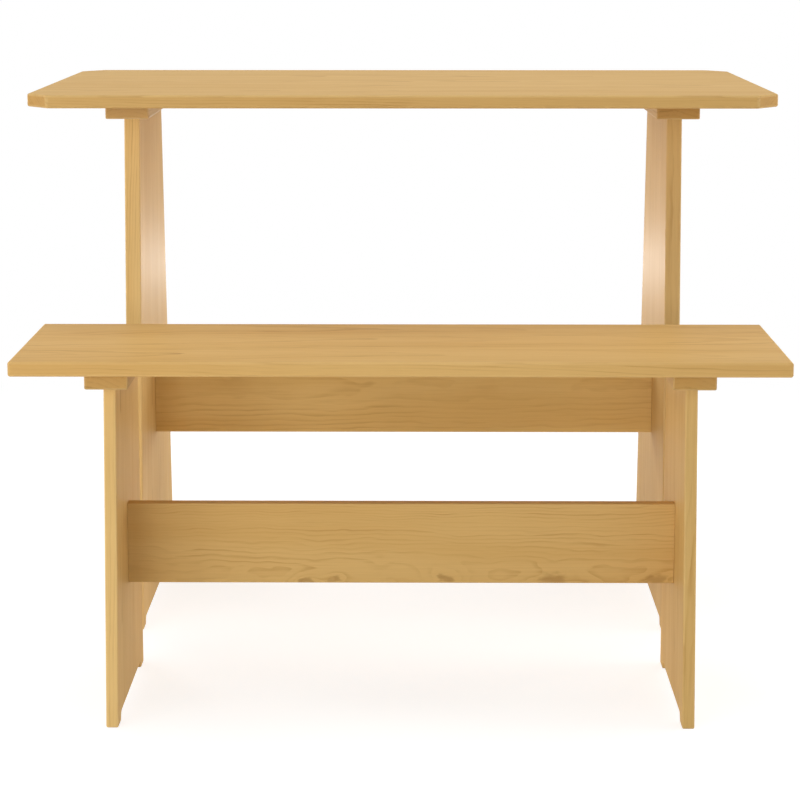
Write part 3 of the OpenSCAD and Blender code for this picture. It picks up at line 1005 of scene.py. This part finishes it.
@dataclass(frozen=True)
class KnockDownJoint:
    """Bolts, barrel nuts and dowels that join a stretcher rail to two leg panels."""

    body: str
    round_steps: int = 40
    bolt_radius: float = 3 * MM
    head_radius: float = 7.5 * MM
    head_thickness: float = 2.5 * MM
    head_rounding: float = 0.9 * MM
    rounding_steps: int = 4
    socket_sides: int = 6
    socket_across: float = 4 * MM
    socket_depth: float = 1.8 * MM
    thread_pitch: float = 1 * MM
    # Depth of the thread against its pitch
    thread_depth: float = 0.6
    thread_length: float = 24 * MM
    thread_steps: int = 20
    nut_radius: float = 5 * MM
    nut_bevel: float = 0.5 * MM
    nut_slot_width: float = 1.2 * MM
    nut_slot_depth: float = 1 * MM
    dowel_radius: float = 4 * MM
    dowel_bevel: float = 1 * MM
    flute_count: int = 24
    flute_depth: float = 0.22 * MM

    def bolt(self, length: float) -> Solid:
        """Makes one bolt along Z, with the seat of its head at the origin and the head below.

        Args:
            length: Length from the head's seat to the end.

        Returns:
            The bolt.
        """
        root = self.bolt_radius - self.thread_depth * self.thread_pitch
        plain_end = length - self.thread_length
        start = plain_end + self.bolt_radius - root
        rim = []
        for step in range(self.rounding_steps + 1):
            angle = math.pi / 2 * step / self.rounding_steps
            inset = self.head_rounding * (1 - math.sin(angle))
            rise = self.head_rounding * (1 - math.cos(angle))
            rim.append((self.head_radius - inset, rise - self.head_thickness))
        profile = [
            (0.0, -self.head_thickness),
            *rim,
            (self.head_radius, 0.0),
            (self.bolt_radius, 0.0),
            (self.bolt_radius, plain_end),
            (root, start),
            (root, length),
            (0.0, length),
        ]
        socket = Solid()
        bmesh.ops.create_cone(
            socket.mesh,
            cap_ends=True,
            segments=self.socket_sides,
            radius1=self.socket_across / math.sqrt(3),
            radius2=self.socket_across / math.sqrt(3),
            depth=self.socket_depth * 2,
            matrix=Matrix.Translation(DOWN * self.head_thickness),
        )
        body = Solid.turned(profile, self.round_steps).cut([socket])
        reach = self.thread_length - self.thread_pitch
        foot = root * THREAD_SINK
        thread = Solid.threaded(self.bolt_radius, foot, self.thread_pitch, reach, self.thread_steps)
        return body.join([thread.placed(Matrix.Translation(UP * start))])

    def nut(self, length: float) -> Solid:
        """Makes one barrel nut along Z about the origin, slotted at its upper end.

        Args:
            length: Its length.

        Returns:
            The nut.
        """
        end = length / 2
        flat = self.nut_radius - self.nut_bevel
        upper = [(self.nut_radius, end - self.nut_bevel), (flat, end), (0.0, end)]
        lower = [(radius, -height) for radius, height in reversed(upper)]
        reach = self.nut_radius + OVERCUT
        cross = Bore(-RIGHTWARD * reach, RIGHTWARD, self.bolt_radius + PLAY, 2 * reach)
        half = self.nut_slot_width / 2
        slot = Box(Vector((-half, -reach, end - self.nut_slot_depth)), Vector((half, reach, end + OVERCUT)))
        return Solid.turned(lower + upper, self.round_steps).cut([cross.tool(), Solid.block(slot)])

    def dowel(self, length: float) -> Solid:
        """Makes one fluted dowel that rises along Z from the origin.

        Args:
            length: Its length.

        Returns:
            The dowel.
        """
        made = Solid()
        circle = {"segments": 2 * self.flute_count, "radius": self.dowel_radius}
        rim = bmesh.ops.create_circle(made.mesh, cap_ends=True, **circle)["verts"]
        slim = 1 - self.flute_depth / self.dowel_radius
        bmesh.ops.scale(made.mesh, vec=(slim, slim, 1.0), verts=rim[::2])
        pinch = 1 - self.dowel_bevel / self.dowel_radius
        bmesh.ops.scale(made.mesh, vec=(pinch, pinch, 1.0), verts=rim)
        plain = length - 2 * self.dowel_bevel
        face = made.mesh.faces[:][0]
        for rise, scale in ((self.dowel_bevel, 1 / pinch), (plain, 1.0), (self.dowel_bevel, pinch)):
            face = made.drawn_out(face, UP * rise, scale)
        return made.facing_out()

    def panel_bores(self, panel: Box, side: Side) -> list[Bore]:
        """Lists the holes of the joint in a leg panel.

        Args:
            panel: The panel's box.
            side: Its end of the furniture.

        Returns:
            Two bolt holes that pass it and one blind dowel hole.
        """
        way = side.outward
        bolts = [bore_for(bolt, panel, -way, self.bolt_radius) for bolt in self._on("bolts", side)]
        dowels = [bore_for(dowel, panel, way, self.dowel_radius) for dowel in self._on("dowels", side)]
        return bolts + dowels

    def rail_bores(self, rail: Box) -> list[Bore]:
        """Lists the holes of the joint in a rail.

        Args:
            rail: The rail's box.

        Returns:
            Bolt and dowel holes in the ends, and nut holes in the rear face.
        """
        found = []
        for side in Side:
            for part, radius in (("bolts", self.bolt_radius), ("dowels", self.dowel_radius)):
                found += [bore_for(item, rail, -side.outward, radius) for item in self._on(part, side)]
            for nut in self._on("barrel_nuts", side):
                found.append(bore_for(nut, rail, -REARWARD, self.nut_radius, past=0.0))
        return found

    def build(self, steel: Material, beech: Material) -> None:
        """Makes bolts, nuts and dowels, one piece for each kind.

        Args:
            steel: Finish of bolts and nuts.
            beech: Finish of the dowels.
        """
        bolts, nuts, dowels = [], [], []
        for side in Side:
            for item in self._on("bolts", side):
                seat = item.toward(side.outward) - side.outward * self.head_thickness
                shank = item.size.x - self.head_thickness
                bolts.append(self.bolt(shank).placed(pointing(seat, -side.outward)))
            for item in self._on("barrel_nuts", side):
                nuts.append(self.nut(item.size.y).placed(pointing(item.middle, REARWARD)))
            for item in self._on("dowels", side):
                dowels.append(self.dowel(item.size.x).placed(pointing(item.toward(-RIGHTWARD), RIGHTWARD)))
        for solids, part, stuff, finish, slot in (
            (bolts, "bolts", "zinc", steel, "zinc_steel"),
            (nuts, "barrel_nuts", "zinc", steel, "zinc_steel"),
            (dowels, "dowels", "beech", beech, "beech_dowel"),
        ):
            node = f"{self.body}_{part}"
            dress(Solid().join(solids).finished(f"{node}_{stuff}", finish), self.body, slot, node)

    def _on(self, part: str, side: Side) -> list[Box]:
        """Lists the fasteners of one kind on one side of the middle."""
        return [solid for solid in solids_of(f"{self.body}_{part}") if solid.middle.x * side.value > 0]


@dataclass(frozen=True)
class Board:
    """What every board has: its wood, rounded arrises and bored holes."""

    pine: Pine
    arris: float = 2 * MM
    arris_steps: int = 4
    slot: str = "pine_rail"

    @property
    def box(self) -> Box:
        """Box of the board in the frame."""
        return box_of(self.pine.node)

    def shape(self) -> Solid:
        """Makes the board without its holes: a block with every arris rounded."""
        bar = Solid.block(self.box)
        return bar.rounded(bar.sharp_edges(), self.arris, self.arris_steps)

    def build(self, body: str, bores: Iterable[Bore]) -> None:
        """Makes the board with its holes.

        Args:
            body: Body that it moves with.
            bores: Its holes.
        """
        bored = self.shape().cut(bore.tool() for bore in bores)
        piece = bored.finished(f"{self.pine.node}_pine", self.pine.material())
        dress(piece, body, self.slot, self.pine.node)


@dataclass(frozen=True)
class Cleat(Board):
    """Bar between a leg panel and the board above, screwed to both."""


@dataclass(frozen=True)
class Deck(Board):
    """Seat board, or table top with clipped corners."""

    arris: float = 3 * MM
    arris_steps: int = 5
    slot: str = "pine_top"
    # Lengths that a clipped corner takes off the long and the short edge; none where the first is 0
    clip: tuple[float, float] = (0.0, 0.0)

    def shape(self) -> Solid:
        """Makes the board without its holes: the outline of its underside, swept up.

        Returns:
            The board with every arris rounded.
        """
        outline = []
        for across, deep in ((-1, -1), (1, -1), (1, 1), (-1, 1)):
            corner = self.box.toward(Vector((across, deep, -1)))
            on_long = corner - RIGHTWARD * across * self.clip[0]
            on_short = corner - REARWARD * deep * self.clip[1]
            outline += [on_short, on_long] if across * deep > 0 else [on_long, on_short]
        board = Solid.swept(outline if self.clip[0] else outline[::2], UP * self.box.size.z)
        return board.rounded(board.sharp_edges(), self.arris, self.arris_steps)


@dataclass(frozen=True)
class Rail(Board):
    """Stretcher rail on edge between two leg panels."""

    # What sandpaper takes off the sawn ends
    end_arris: float = 0.7 * MM
    end_steps: int = 2

    def shape(self) -> Solid:
        """Makes the rail without its holes.

        Returns:
            The rail with rounded long edges and softened ends.
        """
        box = self.box
        bar = Solid.block(box)
        long_edges = [edge for edge in bar.mesh.edges if edge.calc_length() > box.size.x / 2]
        bar.rounded(long_edges, self.arris, self.arris_steps)
        ends = (box.low.x, box.high.x)
        rims = [
            edge
            for edge in bar.mesh.edges
            if any(all(abs(vert.co.x - end) < SAME_PLACE for vert in edge.verts) for end in ends)
        ]
        return bar.rounded(rims, self.end_arris, self.end_steps)


@dataclass(frozen=True, kw_only=True)
class LegPanel(Board):
    """Leg panel of one end: a leaning trapezoid on two soles, with an arch between them."""

    slot: str = "pine_panel"
    side: Side
    # Lean of the rear edge; the front edge leans as its fibres do
    rear_lean_deg: float
    sole: float = 28 * MM
    arch_height: float = 10 * MM
    step_run: float = 5 * MM
    step_radius: float = 6 * MM
    step_steps: int = 6

    def shape(self) -> Solid:
        """Makes the panel without its holes: its side view, swept across.

        Returns:
            The panel with a blended arch and every arris rounded.
        """
        box = self.box
        front, rear, top = box.low.y, box.high.y, box.high.z
        lean_front, lean_rear = (
            box.size.z * math.tan(math.radians(lean)) for lean in (self.pine.lean_deg, self.rear_lean_deg)
        )
        side_view = [
            (front, 0.0),
            (front + self.sole, 0.0),
            (front + self.sole + self.step_run, self.arch_height),
            (rear - self.sole - self.step_run, self.arch_height),
            (rear - self.sole, 0.0),
            (rear, 0.0),
            (rear - lean_rear, top),
            (front + lean_front, top),
        ]
        panel = Solid.swept([Vector((box.low.x, *point)) for point in side_view], RIGHTWARD * box.size.x)
        crowns = [
            edge
            for edge in panel.mesh.edges
            if all(math.isclose(vert.co.z, self.arch_height, abs_tol=SAME_PLACE) for vert in edge.verts)
            and math.isclose(edge.verts[0].co.y, edge.verts[1].co.y, abs_tol=SAME_PLACE)
        ]
        step_turn = math.pi / 2 - math.atan2(self.step_run, self.arch_height)
        panel.rounded(crowns, self.step_radius * math.tan(step_turn / 2), self.step_steps)
        return panel.rounded(panel.sharp_edges(), self.arris, self.arris_steps)


@dataclass(frozen=True)
class Furniture:
    """The bench or the table: a deck on two cleated leg panels with a stretcher rail between them."""

    body: str
    deck: Deck
    cleats: Sequence[Cleat]
    panels: Sequence[LegPanel]
    rail: Rail
    deck_screw: ScrewKind = ScrewKind(2 * MM)
    cleat_screw: ScrewKind = ScrewKind(2.25 * MM)

    def build(self, steel: Material, beech: Material) -> None:
        """Makes every piece.

        Args:
            steel: Finish of the metal parts.
            beech: Finish of the dowels.
        """
        joint = KnockDownJoint(self.body)
        rising = ScrewSet(f"{self.deck.pine.node}_screws", self.deck_screw, UP)
        falling = ScrewSet(f"{self.body}_cleat_screws", self.cleat_screw, DOWN)
        self.deck.build(self.body, rising.bores_in(self.deck.box))
        for cleat in self.cleats:
            cleat.build(self.body, rising.bores_in(cleat.box) + falling.bores_in(cleat.box))
        for panel in self.panels:
            panel.build(self.body, joint.panel_bores(panel.box, panel.side) + falling.bores_in(panel.box))
        self.rail.build(self.body, joint.rail_bores(self.rail.box))
        joint.build(steel, beech)
        for screws in (rising, falling):
            screws.build(self.body, steel)


def pair(
    body: str, part: str, tints: tuple[Tint, Tint], seed: float, stave_shift: float = 0.0, **wood: object
) -> dict[Side, Pine]:
    """Gives the wood of the left and the right board of a pair.

    Args:
        body: Body that they belong to.
        part: What the two boards are called in the frame.
        tints: Tint of the left and of the right one.
        seed: Chance number between theirs.
        stave_shift: How far their staves are moved outwards.
        **wood: What else they have in common.

    Returns:
        The wood of each side.
    """
    return {
        side: Pine(
            f"{body}_{side.word}_{part}",
            seed=seed + side.value,
            stave_shift=stave_shift * side.value,
            tint=tint,
            **wood,
        )
        for side, tint in zip(Side, tints)
    }


def bench() -> Furniture:
    """Describes the bench.

    Returns:
        The bench, ready to build.
    """
    legs = pair(
        "bench",
        "leg",
        # The left leg is the palest board of the bench: its own tone, and a painted sheen of the light from
        # the left
        ((1.14, 1.22, 1.26), (1.0, 1.04, 1.0)),
        seed=3.0,
        stave_shift=0.1,
        grain=Grain.UPRIGHT,
        lean_deg=6.3,
        pith_mm=(18.0, 70.0),
        stave_mm=96.0,
        spread_mm=60.0,
        contrast=0.8,
    )
    cleats = pair(
        "bench",
        "cleat",
        ((0.96, 1.02, 1.08), (0.96, 1.02, 1.08)),
        seed=11.0,
        grain=Grain.FRONT_TO_BACK,
        pith_mm=(6.0, -46.0),
        ring_mm=6.0,
    )
    seat = Pine(
        "bench_seat",
        Grain.SIDEWAYS_FLAT,
        pith_mm=(0.0, -75.0),
        stave_mm=97.0,
        spread_mm=50.0,
        seed=21.0,
        contrast=0.85,
        faintest=0.1,
        tint=(1.03, 1.03, 0.96),
    )
    stretcher = Pine(
        "bench_stretcher",
        Grain.SIDEWAYS_ON_EDGE,
        pith_mm=(-62.0, -40.0),
        tilt_deg=(0.5, 0.6),
        ring_mm=2.8,
        ripple_mm=5.0,
        ripple=Figure(75.0, 30.0, 2.0, 0.5),
        stave_mm=300.0,
        seed=5.0,
        tint=(1.01, 1.04, 1.0),
        knots=(
            Knot(-118.0, -50.0, 4.0, 9.0),
            Knot(-82.0, -46.0, 3.0, 6.0, 0.3),
            Knot(56.0, -44.0, 4.5, 8.0),
            Knot(190.0, -46.0, 8.0, 6.0, 0.4),
            Knot(318.0, -46.0, 6.0, 4.0, 0.4),
        ),
    )
    return Furniture(
        "bench",
        Deck(seat),
        [Cleat(wood) for wood in cleats.values()],
        [LegPanel(pine=wood, side=side, rear_lean_deg=0.0) for side, wood in legs.items()],
        Rail(stretcher),
    )


def table() -> Furniture:
    """Describes the table.

    Returns:
        The table, ready to build.
    """
    legs = pair(
        "table",
        "leg",
        # The left leg and the left cleat are the palest boards of the table: their own tone, and a painted
        # sheen of the light from the left
        ((1.15, 1.25, 1.34), (0.94, 0.98, 1.02)),
        seed=31.0,
        stave_shift=0.2,
        grain=Grain.UPRIGHT,
        lean_deg=5.7,
        pith_mm=(14.0, 80.0),
        stave_mm=107.0,
        spread_mm=60.0,
        contrast=0.7,
    )
    cleats = pair(
        "table",
        "cleat",
        # The left cleat's paler, bluer tint: its own tone, and a painted sheen of the light from the left
        ((1.0, 1.14, 1.46), (0.9, 0.95, 1.02)),
        seed=41.0,
        grain=Grain.FRONT_TO_BACK,
        pith_mm=(-8.0, -50.0),
        ring_mm=6.0,
    )
    top = Pine(
        "table_top",
        Grain.SIDEWAYS_FLAT,
        pith_mm=(0.0, -80.0),
        stave_mm=120.0,
        spread_mm=60.0,
        seed=51.0,
        contrast=0.7,
        faintest=0.1,
        tint=(0.94, 0.95, 0.89),
    )
    stretcher = Pine(
        "table_stretcher",
        Grain.SIDEWAYS_ON_EDGE,
        pith_mm=(6.0, -34.0),
        tilt_deg=(0.5, 0.5),
        ring_mm=4.6,
        ripple_mm=5.0,
        ripple=Figure(90.0, 34.0, 2.0, 0.5),
        faintest=0.1,
        stave_mm=300.0,
        seed=61.0,
        tint=(1.17, 1.28, 1.3),
    )
    return Furniture(
        "table",
        Deck(top, clip=(30 * MM, 38 * MM)),
        [Cleat(wood) for wood in cleats.values()],
        [LegPanel(pine=wood, side=side, rear_lean_deg=wood.lean_deg) for side, wood in legs.items()],
        Rail(stretcher),
    )


@dataclass(frozen=True)
class Lamp:
    """Soft box that faces a point."""

    name: str
    place: tuple[float, float, float]
    size: tuple[float, float]
    watts: float
    target: tuple[float, float, float] = (0.0, 0.0, 0.35)

    def build(self) -> None:
        """Puts the lamp in the scene."""
        data = bpy.data.lights.new(self.name, "AREA")
        data.shape = "RECTANGLE"
        data.size, data.size_y = self.size
        data.energy = self.watts
        lamp = bpy.data.objects.new(self.name, data)
        lamp.location = self.place
        way = Vector(self.target) - Vector(self.place)
        lamp.rotation_euler = way.to_track_quat("-Z", "Y").to_euler()
        lamp.visible_camera = False
        bpy.context.scene.collection.objects.link(lamp)


@dataclass(frozen=True)
class Studio:
    """White studio: floor, surrounding light, soft boxes and the camera."""

    # Side of the square floor
    floor_side: float = 40.0
    # Floor as the eye sees it, before its own light, and as it throws light back on the furniture
    floor_colour: str = "#B0B0B0"
    floor_bounce: str = "#F0F0F0"
    # Own light of the floor where the eye sees it, near the furniture
    floor_glow: float = 0.76
    # Distances from the middle between which it turns to plain white
    floor_reach: tuple[float, float] = (0.9, 2.0)
    # Strength of the surrounding light on matt surfaces at the height of the eye; the ceiling is dark
    surround: float = 0.78
    lens_mm: float = 110.42
    sight: float = 100.0
    camera_place: tuple[float, float, float] = (0.0212, -3.3092, 0.945)
    # How far the camera looks down and to its left, in degrees
    look_down_deg: float = 10.765
    look_left_deg: float = 0.43
    lamps: tuple[Lamp, ...] = (
        Lamp("key_front_left", (-1.5, -3.0, 1.0), (0.9, 0.7), 11.0),
        Lamp("low_front_left", (-0.95, -3.3, 0.55), (0.6, 0.4), 9.0),
        Lamp("fill_front_left", (-2.8, -2.6, 1.0), (1.4, 1.4), 23.0),
        Lamp("fill_left", (-3.4, 0.0, 1.0), (2.0, 1.8), 18.0),
        Lamp("fill_right", (3.4, 0.0, 1.0), (2.0, 1.8), 46.0),
        Lamp("fill_rear_left", (-2.6, 2.8, 0.8), (1.4, 1.4), 45.0),
        Lamp("fill_rear_right", (2.6, 2.8, 0.8), (1.4, 1.4), 28.0),
        Lamp("overhead", (0.0, 0.1, 3.0), (2.6, 2.6), 44.0),
        Lamp("strip_behind", (0.0, 3.3, 0.07), (0.8, 0.1), 7.0, (0.0, 0.3, 0.4)),
    )

    def build(self) -> None:
        """Makes floor, surroundings, lamps and camera."""
        self._floor()
        self._surroundings()
        for lamp in self.lamps:
            lamp.build()
        self._camera()

    def _seen_ray(self, add: Adder) -> NodeSocket:
        """Tells a ray that shows the background as such: to the eye, in gloss or through glass.

        Args:
            add: Adds a node to the floor's or the world's tree.

        Returns:
            1 for such a ray and 0 for any other.
        """
        seen = add("LightPath", output="Is Camera Ray")
        rays = seen.node.outputs
        for name in ("Is Glossy Ray", "Is Transmission Ray"):
            seen = add("Math", (seen, rays[name]), operation="MAXIMUM")
        return seen

    def _floor(self) -> None:
        """Makes the floor, which keeps the furniture's shadow and ends in white."""
        plane = Solid()
        bmesh.ops.create_grid(plane.mesh, x_segments=1, y_segments=1, size=self.floor_side / 2)
        floor = plane.as_object("studio_floor")
        plane.mesh.free()
        material, add = new_material("matt_white_floor")
        matt = add("BsdfDiffuse", (linear(self.floor_colour),))
        bounce = add("BsdfDiffuse", (linear(self.floor_bounce),))
        far = add("VectorMath", (add("TexCoord", output="Object"),), "Value", operation="LENGTH")
        share = add("MapRange", (far, *self.floor_reach), interpolation_type="SMOOTHSTEP")
        lit = add("AddShader", (matt, add("Emission", (WHITE, self.floor_glow))))
        seen = add("MixShader", (share, lit, add("Emission", (WHITE, 1.0))))
        add("OutputMaterial", (add("MixShader", (self._seen_ray(add), bounce, seen)),))
        floor.data.materials.append(material)

    def _surroundings(self) -> None:
        """Makes the world: white where it is seen, softer as a light."""
        world = bpy.data.worlds.new("white_studio")
        world.use_nodes = True
        world.node_tree.nodes.clear()
        bpy.context.scene.world = world
        add = partial(add_node, world.node_tree)
        rise = add("SeparateXYZ", (add("TexCoord", output="Generated"),), "Z")
        rise = add("Math", (rise,), operation="ABSOLUTE")
        level = add("MapRange", (rise, 0.0, 1.0, self.surround, 0.0))
        light = add("Background", (WHITE, level))
        seen = add("Background", (WHITE, 1.0))
        add("OutputWorld", (add("MixShader", (self._seen_ray(add), light, seen)),))

    def _camera(self) -> None:
        """Makes the camera of the photograph's view."""
        data = bpy.data.cameras.new("camera")
        data.lens = self.lens_mm
        data.clip_end = self.sight
        camera = bpy.data.objects.new("camera", data)
        camera.location = self.camera_place
        down = math.pi / 2 - math.radians(self.look_down_deg)
        camera.rotation_euler = (down, 0.0, math.radians(self.look_left_deg))
        bpy.context.scene.collection.objects.link(camera)
        bpy.context.scene.camera = camera


def main() -> None:
    """Builds the bench, the table and the studio."""
    logging.basicConfig(level=logging.INFO, format="%(name)s: %(message)s")
    bpy.context.scene.view_settings.view_transform = "Standard"
    steel = ZincSteel().material()
    beech = Beech().material()
    for furniture in (bench(), table()):
        furniture.build(steel, beech)
    Studio().build()


if __name__ == "__main__":
    main()
